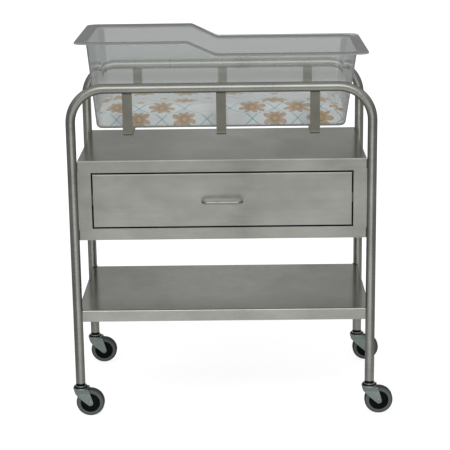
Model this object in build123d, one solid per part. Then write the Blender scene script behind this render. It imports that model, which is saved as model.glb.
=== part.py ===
from build123d import *
import os
from math import radians, tan

# Hospital bassinet: a stainless tube stand on four swivel casters, with a drawer cabinet,
# a lower shelf and three U straps that carry a clear moulded basket and its pad.
# X runs along the length with the head end at -X, the drawer opens towards -Y and Z is up.
# The pieces are drawn about the centre of the four legs, and moved at the end so that the
# origin is on the floor below the middle of the overall box. All sizes are millimetres.

# Frame tubes
tube_diameter = 25.4
tube_wall = 1.5
leg_spacing_length = 785.5
leg_spacing_depth = 425.0
rail_height = 899.5
rail_bend_radius = 90.0
leg_end_height = 93.0

# Cabinet
cabinet_base_height = 494.3
cabinet_height = 214.9
cabinet_sheet = 1.2
border_top = 32.4
border_bottom = 31.5
border_side = 35.2
opening_return = 12.0
cabinet_corner_bend = 2.5

# Drawer
drawer_gap = 4.5
drawer_front_depth = 12.0
drawer_sheet = 1.2
drawer_rear_space = 22.0
drawer_floor_space = 6.0
drawer_wall_height = 118.0
drawer_corner_bend = 4.0
drawer_hem = 7.0

# Drawer runners: a channel on a bracket, a nylon liner and a bar on the drawer
runner_space = 12.7
runner_sheet = 1.5
channel_height = 28.0
channel_depth = 11.0
liner_thickness = 2.0
runner_clearance = 0.25
rail_side_clearance = 0.5
runner_front_setback = 14.5
bracket_height = 60.0
bracket_sheet = 1.5

# Handle
handle_rod = 8.0
handle_centres = 101.6
handle_projection = 36.0
handle_bend_radius = 12.0
handle_screw = 4.0
handle_screw_head = 8.0
handle_screw_head_height = 3.0
handle_screw_grip = 9.0
screw_hole_clearance = 0.15

# Lower shelf
shelf_top_height = 298.3
shelf_lip = 31.8
shelf_sheet = 1.5
shelf_corner_bend = 4.0
shelf_hem = 10.0
stiffener_width = 80.0
stiffener_depth = 18.0
stiffener_flange = 15.0

# Straps
strap_width = 25.4
strap_thickness = 4.8
strap_underside_height = 775.2
strap_bend_radius = 5.0
strap_spacing = 243.5

# Basket
basket_length = 765.0
basket_width = 406.0
basket_offset = 2.5
rim_height_foot = 982.5
rim_step_height = 33.5
rim_step_centre = -48.5
rim_step_slope = 25.0
rim_step_radius = 20.0
flange_width = 28.0
flange_corner_radius = 30.0
basket_sheet = 4.0
draft_side = 9.0
draft_head = 4.6
draft_foot = 8.0
basket_corner_top = 28.0
basket_corner_bottom = 20.0
basket_floor_radius = 8.0
fold_radius = 8.0

# Mattress pad
pad_thickness = 48.0
pad_wall_gap = 3.0
pad_edge_radius = 10.0

# Casters
wheel_diameter = 76.2
tread_width = 24.0
tread_thickness = 11.6
tread_shoulder_radius = 6.0
hub_recess = 2.0
hub_rim_width = 3.5
hub_boss_diameter = 17.0
caster_trail = 25.4
axle_diameter = 8.0
axle_head_diameter = 10.5
axle_head_height = 1.8
axle_head_radius = 1.0
axle_dimple_diameter = 4.6
axle_dimple_depth = 4.0
fork_sheet = 2.5
wheel_side_gap = 1.5
boss_side_gap = 0.2
fork_end_radius = 8.0
fork_front_reach = 17.5
fork_front_depth = 14.0
fork_nose_radius = 7.0
fork_rear_reach = 21.5
fork_rear_depth = 5.0
fork_flare = 3.5
fork_flare_height = 13.0
crown_diameter = 42.0
crown_edge_radius = 1.2
crown_underside_height = 78.0
stem_diameter = 11.0
stem_insert = 34.0
race_diameter = 32.0
race_height = 3.6
race_edge_radius = 1.2
seal_diameter = 37.6
seal_height = 2.4
rivet_diameter = 14.0
rivet_height = 2.3
socket_insert = 42.0
socket_fit = 0.05
running_clearance = 0.06
swivel_gap = 0.15

# How far a shape that only cuts reaches past the surface that it cuts
cut_reach = 1.0

# Derived places
tube_radius = tube_diameter / 2
bore_radius = tube_radius - tube_wall
leg_x = leg_spacing_length / 2
leg_y = leg_spacing_depth / 2
cabinet_half = leg_x - tube_radius
cabinet_top_height = cabinet_base_height + cabinet_height
opening_half = cabinet_half - border_side
opening_bottom = cabinet_base_height + border_bottom
opening_top = cabinet_top_height - border_top
opening_middle = (opening_bottom + opening_top) / 2
panel_inside = leg_y - cabinet_sheet
strap_top_height = strap_underside_height + strap_thickness
wheel_radius = wheel_diameter / 2
FRONT, REAR = -1, 1
LEFT, RIGHT = -1, 1
SIDES = {"left": LEFT, "right": RIGHT}
CORNERS = {
    "front_left": (LEFT, FRONT),
    "front_right": (RIGHT, FRONT),
    "rear_left": (LEFT, REAR),
    "rear_right": (RIGHT, REAR),
}


def block(x, y, z):
    """A box given by its low and high limit along each axis."""
    size = Box(x[1] - x[0], y[1] - y[0], z[1] - z[0])
    return Pos((x[0] + x[1]) / 2, (y[0] + y[1]) / 2, (z[0] + z[1]) / 2) * size


def upright(radius, low, high, x=0.0, y=0.0):
    """A vertical cylinder between two heights."""
    return Pos(x, y, (low + high) / 2) * Cylinder(radius, high - low)


def crosswise(radius, low, high, x=0.0, z=0.0):
    """A cylinder along Y between two places."""
    return Pos(x, (low + high) / 2, z) * Rot(X=90) * Cylinder(radius, high - low)


def prism_along_x(face, width):
    """A face drawn in (Y, Z), thickened evenly about X = 0."""
    return extrude(Plane.YZ * face, amount=width / 2, both=True)


def prism_along_y(face, width):
    """A face drawn in (X, Z), thickened evenly about Y = 0."""
    return extrude(Plane.XZ * face, amount=width / 2, both=True)


def leg_cylinders(radius, low, high):
    """The outer shape of the four legs between two heights."""
    legs = [upright(radius, low, high, side * leg_x, end * leg_y) for side, end in CORNERS.values()]
    return Compound(legs)


def frame(end):
    """One inverted U of tube: two legs and the long rail between them."""
    path = FilletPolyline(
        (-leg_x, leg_end_height),
        (-leg_x, rail_height),
        (leg_x, rail_height),
        (leg_x, leg_end_height),
        radius=rail_bend_radius,
    )
    ring = Circle(tube_radius) - Circle(bore_radius)
    start = Pos(-leg_x, 0, leg_end_height) * ring
    return Pos(0, end * leg_y, 0) * sweep(start, path=Plane.XZ * path)


def rail_cylinders():
    """The outer shape of both rails, which the strap ends are coped to."""
    bar = Rot(Y=90) * Cylinder(tube_radius, leg_spacing_length)
    return Compound([Pos(0, end * leg_y, rail_height) * bar for end in (FRONT, REAR)])


def strap(x):
    """A flat bar bent to a U that hangs from both rails and carries the basket."""
    height = rail_height - strap_underside_height
    middle = strap_underside_height + height / 2
    outside = Rectangle(leg_spacing_depth + strap_thickness, height)
    outside = fillet(outside.vertices().group_by(Axis.Y)[0], strap_bend_radius + strap_thickness)
    inside = Rectangle(leg_spacing_depth - strap_thickness, height)
    inside = fillet(inside.vertices().group_by(Axis.Y)[0], strap_bend_radius)
    profile = Pos(0, middle) * outside - Pos(0, middle + strap_thickness) * inside
    return Pos(x, 0, 0) * (prism_along_x(profile, strap_width) - rail_cylinders())


def cabinet_wrapper():
    """Top, sides and front of the cabinet, folded from one sheet, with the drawer opening."""
    sheet = cabinet_sheet
    outside = Rectangle(2 * cabinet_half, cabinet_height)
    outside = fillet(outside.vertices().group_by(Axis.Y)[-1], cabinet_corner_bend)
    inside = Rectangle(2 * (cabinet_half - sheet), cabinet_height)
    inside = fillet(inside.vertices().group_by(Axis.Y)[-1], cabinet_corner_bend - sheet)
    middle = cabinet_base_height + cabinet_height / 2
    body = prism_along_y(Pos(0, middle) * outside, leg_spacing_depth)
    hollow = prism_along_y(Pos(0, middle - sheet) * inside, leg_spacing_depth)
    body -= Pos(0, sheet, 0) * hollow
    lining = block(
        (-opening_half - sheet, opening_half + sheet),
        (-leg_y, -leg_y + opening_return),
        (opening_bottom - sheet, opening_top + sheet),
    )
    opening = block(
        (-opening_half, opening_half),
        (-leg_y - sheet, -leg_y + opening_return + sheet),
        (opening_bottom, opening_top),
    )
    return body + lining - opening


def cabinet_floor():
    """The bottom sheet, between the cabinet's sides."""
    return block(
        (-cabinet_half + cabinet_sheet, cabinet_half - cabinet_sheet),
        (-panel_inside, leg_y),
        (cabinet_base_height, cabinet_base_height + cabinet_sheet),
    )


def cabinet_back():
    """The back sheet, set in flush with the edges of the wrapper."""
    edge = cabinet_half - cabinet_sheet
    height = cabinet_height - 2 * cabinet_sheet
    sheet = Rectangle(2 * edge, height)
    sheet = fillet(sheet.vertices().group_by(Axis.Y)[-1], cabinet_corner_bend - cabinet_sheet)
    middle = cabinet_base_height + cabinet_height / 2
    panel = prism_along_y(Pos(0, middle) * sheet, cabinet_sheet)
    return Pos(0, leg_y - cabinet_sheet / 2, 0) * panel


# The runners reach from behind the opening to the back sheet.
runner_start = -leg_y + runner_front_setback
runner_end = panel_inside
runner_edge = opening_half


def runner_block(side, x, y, z):
    """A box whose X limits are measured outwards on one side of the cabinet."""
    low, high = sorted((side * x[0], side * x[1]))
    return block((low, high), y, z)


def runner_bracket(side):
    """A channel that brings the runner in from the cabinet's side to the opening's edge."""
    half = bracket_height / 2
    length = (runner_start, runner_end)
    outer = cabinet_half - cabinet_sheet
    shape = runner_block(
        side, (runner_edge, outer), length, (opening_middle - half, opening_middle + half)
    )
    inner = runner_block(
        side,
        (runner_edge + bracket_sheet, outer + bracket_sheet),
        (length[0] - cut_reach, length[1] + cut_reach),
        (opening_middle - half + bracket_sheet, opening_middle + half - bracket_sheet),
    )
    return shape - inner


def channel_shape(side, back, depth, height, thickness):
    """A C section open towards the drawer, with its back against a vertical face."""
    half = height / 2
    length = (runner_start, runner_end)
    shape = runner_block(
        side, (back - depth, back), length, (opening_middle - half, opening_middle + half)
    )
    inner = runner_block(
        side,
        (back - depth - cut_reach, back - thickness),
        (length[0] - cut_reach, length[1] + cut_reach),
        (opening_middle - half + thickness, opening_middle + half - thickness),
    )
    return shape - inner


def runner_channel(side):
    """The fixed steel channel of one runner."""
    return channel_shape(side, runner_edge, channel_depth, channel_height, runner_sheet)


def runner_liner(side):
    """The nylon strip that lines the channel."""
    back = runner_edge - runner_sheet
    depth = channel_depth - runner_sheet
    height = channel_height - 2 * runner_sheet
    return channel_shape(side, back, depth, height, liner_thickness)


drawer_half = opening_half - runner_space
drawer_start = -leg_y + drawer_front_depth
drawer_end = panel_inside - drawer_rear_space
drawer_bottom = opening_bottom + drawer_floor_space
drawer_top = drawer_bottom + drawer_wall_height


def runner_bar(side):
    """The bar on the drawer's side that slides in the lined channel."""
    half = channel_height / 2 - runner_sheet - liner_thickness - runner_clearance
    outer = runner_edge - runner_sheet - liner_thickness - rail_side_clearance
    return runner_block(
        side,
        (drawer_half, outer),
        (runner_start, drawer_end),
        (opening_middle - half, opening_middle + half),
    )


def handle_screw_holes(start, end):
    """Clearance holes for both handle screws between two places along Y."""
    radius = handle_screw / 2 + screw_hole_clearance
    half = handle_centres / 2
    return Compound(
        [crosswise(radius, start, end, side * half, opening_middle) for side in (LEFT, RIGHT)]
    )


def drawer_box():
    """The drawer's floor and sides, folded from one sheet, with the top edges hemmed inwards."""
    middle = drawer_bottom + drawer_wall_height / 2
    outside = Rectangle(2 * drawer_half, drawer_wall_height)
    outside = fillet(outside.vertices().group_by(Axis.Y)[0], drawer_corner_bend)
    inside = Rectangle(2 * (drawer_half - drawer_sheet), drawer_wall_height)
    inside = fillet(inside.vertices().group_by(Axis.Y)[0], drawer_corner_bend - drawer_sheet)
    profile = Pos(0, middle) * outside - Pos(0, middle + drawer_sheet) * inside
    wrap = prism_along_y(profile, drawer_end - drawer_start)
    wrap = Pos(0, (drawer_start + drawer_end) / 2, 0) * wrap
    for side in (LEFT, RIGHT):
        wrap += runner_block(
            side,
            (drawer_half - drawer_hem, drawer_half),
            (drawer_start + drawer_hem, drawer_end - drawer_hem),
            (drawer_top - drawer_sheet, drawer_top),
        )
    return wrap


def drawer_end_panel(end):
    """A panel that closes one end of the drawer between its sides, hemmed inwards at the top."""
    width = 2 * (drawer_half - drawer_sheet)
    outline = Rectangle(width, drawer_wall_height - drawer_sheet)
    outline = fillet(outline.vertices().group_by(Axis.Y)[0], drawer_corner_bend - drawer_sheet)
    panel = prism_along_y(Pos(0, (drawer_bottom + drawer_sheet + drawer_top) / 2) * outline, drawer_sheet)
    outer = drawer_start if end == FRONT else drawer_end
    panel = Pos(0, outer - end * drawer_sheet / 2, 0) * panel
    hem = sorted((outer, outer - end * drawer_hem))
    panel += block((-width / 2, width / 2), hem, (drawer_top - drawer_sheet, drawer_top))
    if end == FRONT:
        panel -= handle_screw_holes(outer - cut_reach, outer + drawer_sheet + cut_reach)
    return panel


def drawer_front():
    """The pan-shaped front, flush with the cabinet and hollow behind."""
    half = opening_half - drawer_gap
    low = opening_bottom + drawer_gap
    high = opening_top - drawer_gap
    sheet = drawer_sheet
    pan = block((-half, half), (-leg_y, drawer_start), (low, high))
    pan -= block(
        (-half + sheet, half - sheet),
        (-leg_y + sheet, drawer_start + sheet),
        (low + sheet, high - sheet),
    )
    return pan - handle_screw_holes(-leg_y - cut_reach, -leg_y + sheet + cut_reach)


def drawer_handle():
    """A bent rod pull, tapped at both ends."""
    half = handle_centres / 2
    reach = handle_projection - handle_rod / 2
    corners = [(-half, 0), (-half, -reach), (half, -reach), (half, 0)]
    path = FilletPolyline(*corners, radius=handle_bend_radius)
    start = Plane(origin=(-half, 0, 0), z_dir=(0, -1, 0)) * Circle(handle_rod / 2)
    rod = Pos(0, -leg_y, opening_middle) * sweep(start, path=path)
    for side in (LEFT, RIGHT):
        end = -leg_y - handle_screw_grip
        rod -= crosswise(handle_screw / 2, end, -leg_y + cut_reach, side * half, opening_middle)
    return rod


def handle_screws():
    """The two screws that hold the handle from inside the drawer."""
    seat = drawer_start + drawer_sheet
    screws = []
    for side in (LEFT, RIGHT):
        x = side * handle_centres / 2
        shank = crosswise(handle_screw / 2, -leg_y - handle_screw_grip, seat, x, opening_middle)
        head = crosswise(
            handle_screw_head / 2, seat, seat + handle_screw_head_height, x, opening_middle
        )
        screws.append(shank + head)
    return Compound(screws)


def lower_shelf():
    """A shelf pan with its lip turned down and hemmed, coped round the four legs."""
    sheet = shelf_sheet
    low = shelf_top_height - shelf_lip
    pan = block((-leg_x, leg_x), (-leg_y, leg_y), (low, shelf_top_height))
    edges = pan.edges().filter_by(Axis.X).group_by(Axis.Z)[-1]
    edges += pan.edges().filter_by(Axis.Y).group_by(Axis.Z)[-1]
    pan = fillet(edges, shelf_corner_bend)
    hollow = block(
        (-leg_x + sheet, leg_x - sheet),
        (-leg_y + sheet, leg_y - sheet),
        (low + sheet, shelf_top_height - sheet),
    )
    edges = hollow.edges().filter_by(Axis.X).group_by(Axis.Z)[-1]
    edges += hollow.edges().filter_by(Axis.Y).group_by(Axis.Z)[-1]
    pan -= fillet(edges, shelf_corner_bend - sheet)
    pan -= block(
        (-leg_x + shelf_hem, leg_x - shelf_hem),
        (-leg_y + shelf_hem, leg_y - shelf_hem),
        (low - sheet, low + 2 * sheet),
    )
    return pan - leg_cylinders(tube_radius, low - sheet, shelf_top_height + sheet)


def shelf_stiffener():
    """A hat section spot welded under the shelf, along its whole length."""
    sheet = shelf_sheet
    under = shelf_top_height - sheet
    half = stiffener_width / 2
    length = leg_x - shelf_corner_bend
    ends = (-length, length)
    hat = block(ends, (-half, half), (under - stiffener_depth, under))
    hat -= block(
        (-length - cut_reach, length + cut_reach),
        (-half + sheet, half - sheet),
        (under - stiffener_depth + sheet, under + cut_reach),
    )
    for end in (FRONT, REAR):
        low, high = sorted((end * (half - sheet), end * (half + stiffener_flange)))
        hat += block(ends, (low, high), (under - sheet, under))
    return hat


# The basket's wall is a loft between two rounded rectangles, one at the floor and one above
# the rim. Its plan at any height follows from the flange, the draft of each wall and the corners.
rim_height_head = rim_height_foot + rim_step_height
loft_top = rim_height_head + rim_step_height
basket_head_end = basket_offset - basket_length / 2 + flange_width
basket_foot_end = basket_offset + basket_length / 2 - flange_width
basket_side = basket_width / 2 - flange_width


def basket_plan(height, inset):
    """The wall's rounded rectangle at one height, moved inwards by inset."""
    head = basket_head_end + (rim_height_head - height) * tan(radians(draft_head)) + inset
    foot = basket_foot_end - (rim_height_foot - height) * tan(radians(draft_foot)) - inset
    side = basket_side - (rim_height_head - height) * tan(radians(draft_side)) - inset
    share = (height - strap_top_height) / (rim_height_head - strap_top_height)
    corner = basket_corner_bottom + share * (basket_corner_top - basket_corner_bottom) - inset
    return Pos((head + foot) / 2, 0, height) * RectangleRounded(foot - head, 2 * side, corner)


def basket_loft(floor, inset, floor_radius):
    """A solid with the tapered walls of the basket and a rounded floor edge."""
    body = loft([basket_plan(floor, inset), basket_plan(loft_top, inset)], ruled=True)
    return fillet(body.edges().group_by(Axis.Z)[0], floor_radius)


def rim_face(thickness):
    """The stepped rim seen from the front: a band of the given height under its top line."""
    drop = rim_height_head - rim_height_foot
    run = drop / tan(radians(rim_step_slope))
    reach = basket_length
    top = FilletPolyline(
        (-reach, rim_height_head),
        (rim_step_centre - run / 2, rim_height_head),
        (rim_step_centre + run / 2, rim_height_foot),
        (reach, rim_height_foot),
        radius=rim_step_radius,
    )
    bottom = Pos(0, -thickness) * top
    ends = [Line(top @ 0, bottom @ 0), Line(top @ 1, bottom @ 1)]
    return make_face([*top.edges(), *bottom.edges(), *ends])


def fold_edges(body, facing):
    """The ring of edges where the flange's top (1) or underside (-1) meets the walls."""
    lowest = rim_height_foot - 2 * basket_sheet
    reach = flange_width / 2
    edges = []
    for face in body.faces():
        if face.center().Z < lowest or facing * face.normal_at().Z < 0.5:
            continue
        for edge in face.edges():
            box = edge.bounding_box()
            within_width = max(-box.min.Y, box.max.Y) < basket_side + reach
            within_head = box.min.X > basket_head_end - reach
            within_foot = box.max.X < basket_foot_end + reach
            if within_width and within_head and within_foot:
                edges.append(edge)
    return edges


def basket():
    """The clear moulded basket: tapered walls, a rounded floor and a stepped outward flange."""
    below_rim = prism_along_y(rim_face(2 * rim_height_head), 2 * basket_width)
    outline = RectangleRounded(basket_length, basket_width, flange_corner_radius)
    plate = prism_along_y(rim_face(basket_sheet), 2 * basket_width)
    plate &= extrude(Pos(basket_offset, 0, 0) * outline, amount=2 * rim_height_head)
    body = basket_loft(strap_top_height, 0.0, basket_floor_radius + basket_sheet) & below_rim
    body += plate
    body = fillet(fold_edges(body, -1), fold_radius)
    body -= basket_loft(strap_top_height + basket_sheet, basket_sheet, basket_floor_radius)
    return fillet(fold_edges(body, 1), fold_radius + basket_sheet)


def mattress():
    """The pad that lies on the basket's floor, a small gap inside its walls."""
    floor = strap_top_height + basket_sheet
    inset = basket_sheet + pad_wall_gap
    plans = [basket_plan(floor, inset), basket_plan(floor + pad_thickness, inset)]
    body = loft(plans, ruled=True)
    body = fillet(body.edges().group_by(Axis.Z)[0], pad_edge_radius)
    return fillet(body.edges().group_by(Axis.Z)[-1], pad_edge_radius)


# Heights within a caster, from the crown of the fork up to the end of the leg.
crown_top_height = crown_underside_height + fork_sheet
seal_base_height = crown_top_height + swivel_gap
race_base_height = seal_base_height + seal_height
race_top_height = race_base_height + race_height
fork_inside = tread_width / 2 + wheel_side_gap
fork_outside = fork_inside + fork_sheet


def caster_socket():
    """The plug in the leg's end: a barrel inside the tube and a collar under it."""
    collar = upright(tube_radius, race_top_height, leg_end_height)
    barrel = upright(bore_radius - socket_fit, leg_end_height, leg_end_height + socket_insert)
    bore = upright(stem_diameter / 2, race_top_height - cut_reach, leg_end_height + stem_insert)
    return collar + barrel - bore


def caster_stem():
    """The pin with the upper race on it, riveted over below the fork's crown."""
    rivet_top = crown_underside_height - swivel_gap
    pin = upright(stem_diameter / 2, rivet_top - rivet_height, leg_end_height + stem_insert)
    race = upright(race_diameter / 2, race_base_height, race_top_height)
    race = fillet(race.edges().group_by(Axis.Z)[-1], race_edge_radius)
    rivet = upright(rivet_diameter / 2, rivet_top - rivet_height, rivet_top)
    return pin + race + rivet


def caster_seal():
    """The dust ring between the upper race and the fork's crown."""
    ring = upright(seal_diameter / 2, seal_base_height, race_base_height)
    pin = upright(stem_diameter / 2, seal_base_height - cut_reach, race_base_height + cut_reach)
    return ring - pin


def fork_plan(height, inset, flare=0.0):
    """The fork from above: a round front that runs back into two straight legs."""
    half = fork_outside + flare - inset
    front = half - (fork_front_reach + flare - inset)
    back = caster_trail + 2 * fork_end_radius
    legs = Pos((front + back) / 2, 0) * Rectangle(back - front, 2 * half)
    return Pos(0, 0, height) * (Pos(front, 0) * Circle(half) + legs)


def fork_body(inset):
    """The fork's legs, straight below and flared out to the crown, filled between its faces."""
    flare_base = crown_underside_height - fork_flare_height
    legs = extrude(fork_plan(0, inset), amount=flare_base)
    flared = fork_plan(crown_underside_height, inset, fork_flare)
    return legs + loft([fork_plan(flare_base, inset), flared], ruled=True)


def caster_fork():
    """The pressed fork: a U of sheet cut to a slanted side view, under a round crown."""
    front = -fork_front_reach - fork_flare
    nose = Pos(
        front + fork_nose_radius, crown_underside_height - fork_front_depth + fork_nose_radius
    )
    outline = Polyline(
        (front, crown_underside_height),
        (front, crown_underside_height - fork_front_depth + fork_nose_radius),
        (fork_rear_reach, crown_underside_height - fork_rear_depth),
        (fork_rear_reach, crown_underside_height),
        close=True,
    )
    rounds = [nose * Circle(fork_nose_radius), Pos(caster_trail, wheel_radius) * Circle(fork_end_radius)]
    side_view = make_hull([*outline.edges(), *rounds[0].edges(), *rounds[1].edges()])
    shell = fork_body(0.0) - fork_body(fork_sheet)
    fork = shell & prism_along_y(side_view, 2 * crown_diameter)
    crown = upright(crown_diameter / 2, crown_underside_height, crown_top_height)
    fork += fillet(crown.edges().group_by(Axis.Z)[-1], crown_edge_radius)
    hole = stem_diameter / 2 + running_clearance
    fork -= upright(hole, crown_underside_height - cut_reach, crown_top_height + cut_reach)
    reach = fork_outside + cut_reach
    return fork - crosswise(axle_diameter / 2, -reach, reach, caster_trail, wheel_radius)


def caster_axle():
    """The wheel's axle, riveted over both fork legs, with a dimple in each head."""
    reach = fork_outside + axle_head_height
    axle = crosswise(axle_diameter / 2, -fork_outside, fork_outside)
    for end in (FRONT, REAR):
        low, high = sorted((end * fork_outside, end * reach))
        head = crosswise(axle_head_diameter / 2, low, high)
        rim = head.edges().group_by(Axis.Y)[0 if end == FRONT else -1]
        axle += fillet(rim, axle_head_radius)
        low, high = sorted((end * (reach - axle_dimple_depth), end * (reach + cut_reach)))
        axle -= crosswise(axle_dimple_diameter / 2, low, high)
    return Pos(caster_trail, 0, wheel_radius) * axle


def caster_hub():
    """The wheel's core: a rim and a boss with a shallow recess between them on each face."""
    half = tread_width / 2
    rim = wheel_radius - tread_thickness
    boss = fork_inside - boss_side_gap
    hub = crosswise(rim, -half, half)
    recess = Cylinder(rim - hub_rim_width, hub_recess) - Cylinder(hub_boss_diameter / 2, hub_recess)
    for end in (FRONT, REAR):
        hub -= Pos(0, end * (half - hub_recess / 2), 0) * Rot(X=90) * recess
    hub += crosswise(hub_boss_diameter / 2, -boss, boss)
    hub -= crosswise(axle_diameter / 2 + running_clearance, -boss - cut_reach, boss + cut_reach)
    return Pos(caster_trail, 0, wheel_radius) * hub


def caster_tread():
    """The soft tyre moulded on the core, with rounded shoulders."""
    half = tread_width / 2
    tyre = crosswise(wheel_radius, -half, half)
    shoulders = [tyre.edges().group_by(Axis.Y)[0], tyre.edges().group_by(Axis.Y)[-1]]
    tyre = fillet([*shoulders[0], *shoulders[1]], tread_shoulder_radius)
    tyre -= crosswise(wheel_radius - tread_thickness, -half - cut_reach, half + cut_reach)
    return Pos(caster_trail, 0, wheel_radius) * tyre


def all_nodes():
    """Every piece in place, by node name."""
    nodes = {
        "front_frame": frame(FRONT),
        "rear_frame": frame(REAR),
        "basket_strap_head": strap(-strap_spacing),
        "basket_strap_middle": strap(0),
        "basket_strap_foot": strap(strap_spacing),
        "cabinet_wrapper": cabinet_wrapper(),
        "cabinet_floor": cabinet_floor(),
        "cabinet_back": cabinet_back(),
        "drawer_box": drawer_box(),
        "drawer_end_front": drawer_end_panel(FRONT),
        "drawer_end_rear": drawer_end_panel(REAR),
        "drawer_front": drawer_front(),
        "drawer_handle": drawer_handle(),
        "handle_screws": handle_screws(),
        "lower_shelf": lower_shelf(),
        "shelf_stiffener": shelf_stiffener(),
        "basket": basket(),
        "mattress": mattress(),
    }
    for name, side in SIDES.items():
        nodes[f"runner_bracket_{name}"] = runner_bracket(side)
        nodes[f"runner_channel_{name}"] = runner_channel(side)
        nodes[f"runner_liner_{name}"] = runner_liner(side)
        nodes[f"runner_bar_{name}"] = runner_bar(side)
    caster = {
        "socket": caster_socket(),
        "stem": caster_stem(),
        "seal": caster_seal(),
        "fork": caster_fork(),
        "axle": caster_axle(),
        "hub": caster_hub(),
        "tread": caster_tread(),
    }
    for corner, (side, end) in CORNERS.items():
        for piece, shape in caster.items():
            nodes[f"caster_{corner}_{piece}"] = Pos(side * leg_x, end * leg_y, 0) * shape
    return nodes


os.makedirs("parts", exist_ok=True)
pieces = all_nodes()
overall = Compound(list(pieces.values())).bounding_box()
origin = Pos(-overall.center().X, -overall.center().Y, -overall.min.Z)
print("leg centre in the part's frame:", origin.position)
print("overall size:", overall.size)
for node, piece in pieces.items():
    export_step(origin * piece, f"parts/{node}.step")
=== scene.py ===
from math import cos, exp, radians, sin

import bmesh
import bpy
from mathutils import Matrix, Vector, noise
from mathutils.bvhtree import BVHTree


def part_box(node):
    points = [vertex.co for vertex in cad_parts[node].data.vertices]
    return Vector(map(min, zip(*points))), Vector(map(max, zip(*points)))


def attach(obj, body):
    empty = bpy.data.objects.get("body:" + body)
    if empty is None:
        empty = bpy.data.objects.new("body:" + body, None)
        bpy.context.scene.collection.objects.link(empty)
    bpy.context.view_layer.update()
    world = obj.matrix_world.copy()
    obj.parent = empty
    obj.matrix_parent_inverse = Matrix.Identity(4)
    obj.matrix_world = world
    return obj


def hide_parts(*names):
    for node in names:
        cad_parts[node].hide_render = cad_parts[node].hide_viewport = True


# Looks of a hospital bassinet: brushed stainless stand, clear basket with a printed pad, and
# four swivel casters. Lengths are metres. X runs along the stand with the head end at -X,
# the drawer opens towards -Y and Z is up.

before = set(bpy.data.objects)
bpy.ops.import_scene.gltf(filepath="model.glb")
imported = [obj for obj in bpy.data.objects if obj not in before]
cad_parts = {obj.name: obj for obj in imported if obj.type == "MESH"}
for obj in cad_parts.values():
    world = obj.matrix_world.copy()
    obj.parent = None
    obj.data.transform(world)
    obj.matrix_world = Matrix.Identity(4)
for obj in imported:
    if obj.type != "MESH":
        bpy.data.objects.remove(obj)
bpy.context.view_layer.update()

STRAPS = ("head", "middle", "foot")
CORNERS = ("front_left", "front_right", "rear_left", "rear_right")

# Camera, as a place, three turns in degrees and a lens in millimetres
CAMERA_PLACE = Vector((0.02515, -3.9309, 1.5175))
CAMERA_YAW = -0.62
CAMERA_PITCH = 14.81
CAMERA_ROLL = -0.77
CAMERA_LENS = 116.549
CAMERA_FAR = 60.0

# Colours, linear
WHITE = (1.0, 1.0, 1.0)
STAINLESS = (0.538, 0.545, 0.500)
STAINLESS_TUBE = (0.505, 0.511, 0.467)
STAINLESS_DULL = (0.408, 0.398, 0.334)
POLISHED = (0.520, 0.526, 0.500)
ZINC = (0.590, 0.700, 0.650)
ZINC_DARK = (0.300, 0.350, 0.330)
# Very dark zinc: painted shade for the runner channel seen through the drawer gap, and the welds'
# dark patches
DARK_ZINC_AND_GAP_SHADE = (0.110, 0.120, 0.115)
WELD_TINT = (0.150, 0.135, 0.105)
CLEAR_PLASTIC = (0.885, 0.920, 0.905)
CLEAR_DEEP = (0.920, 0.938, 0.922)
CLEAR_HAZE = (0.96, 0.96, 0.96)
BLACK_PLASTIC = (0.0045, 0.0055, 0.0050)
BLACK_DUST = (0.030, 0.034, 0.032)
TREAD_GREY = (0.122, 0.143, 0.134)
TREAD_DARK = (0.050, 0.054, 0.050)
NYLON = (0.620, 0.610, 0.560)
COVER_WHITE = (0.745, 0.775, 0.780)
LATTICE_BLUE = (0.240, 0.450, 0.530)
PRINT_TAN = (0.400, 0.265, 0.150)
PRINT_ROSE = (0.560, 0.420, 0.290)
PRINT_GOLD = (0.560, 0.340, 0.110)
PRINT_LINE = (0.220, 0.130, 0.070)
STEEL_EDGE_TINT = (0.6, 0.6, 0.6, 1.0)
ROD_EDGE_TINT = (0.7, 0.7, 0.7, 1.0)

# The stand's tubes and straps, measured on the frame
front_low, front_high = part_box("front_frame")
rear_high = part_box("rear_frame")[1]
TUBE_RADIUS = (front_high.y - front_low.y) / 2
RAIL_HEIGHT = front_high.z - TUBE_RADIUS
STAND_MIDDLE = Vector(((front_low.x + front_high.x) / 2, (front_low.y + rear_high.y) / 2, 0))
LEG_X = (front_high.x - front_low.x) / 2 - TUBE_RADIUS
LEG_Y = (rear_high.y - front_low.y) / 2 - TUBE_RADIUS
RAIL_BEND = 0.090

# The span that most of a noise pattern's values lie in
NOISE_SPAN = (0.3, 0.7)

# Brushed and polished steel: streaks to a metre, shares, roughness and how far the shine spreads
SHEET_STREAKS = (1400.0, 160.0)
TUBE_RINGS = (900.0, 90.0)
FINE_SHARE = 0.6
SMUDGE_STRETCH = (6.0, 4.0, 11.0)
SMUDGE_TONE = (0.86, 1.14)
STREAK_ROUGHNESS = 0.12
SMUDGE_ROUGHNESS = 0.06
SHEET_CONTRAST = 0.30
TUBE_CONTRAST = 0.16
SHEET_ROUGHNESS = 0.20
STRAP_ROUGHNESS = 0.30
TUBE_ROUGHNESS = 0.26
SHEET_SHINE = 0.75
TUBE_SHINE = 0.85

# Stretch of the streaks along X, Y and Z, and the direction that the shine spreads in
ALONG_X = ((0.008, 1.0, 1.0), (0.0, 1.0, 1.0))
ALONG_Y = ((1.0, 0.008, 1.0), (1.0, 0.0, 1.0))
ALONG_STRAP = ((1.0, 0.01, 0.01), (1.0, 0.0, 0.0))

# Painted highlight bands along the front of a sheet, as how tall, how deep and how bright
EDGE_HIGHLIGHT_BAND = (0.002, 0.0035, 1.4)
SHELF_LIP_HIGHLIGHT = (0.040, 0.0012, 1.08)
BAND_FADE = 0.0015

# Painted light on the legs: their colour is raised over the rails', by how much in front and
# behind, and where that fades out
LEG_PAINTED_LIGHT = 1.15
REAR_LEG_PAINTED_LIGHT = 1.38
LEG_PAINTED_LIGHT_FADE = (0.66, 0.80)

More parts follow.
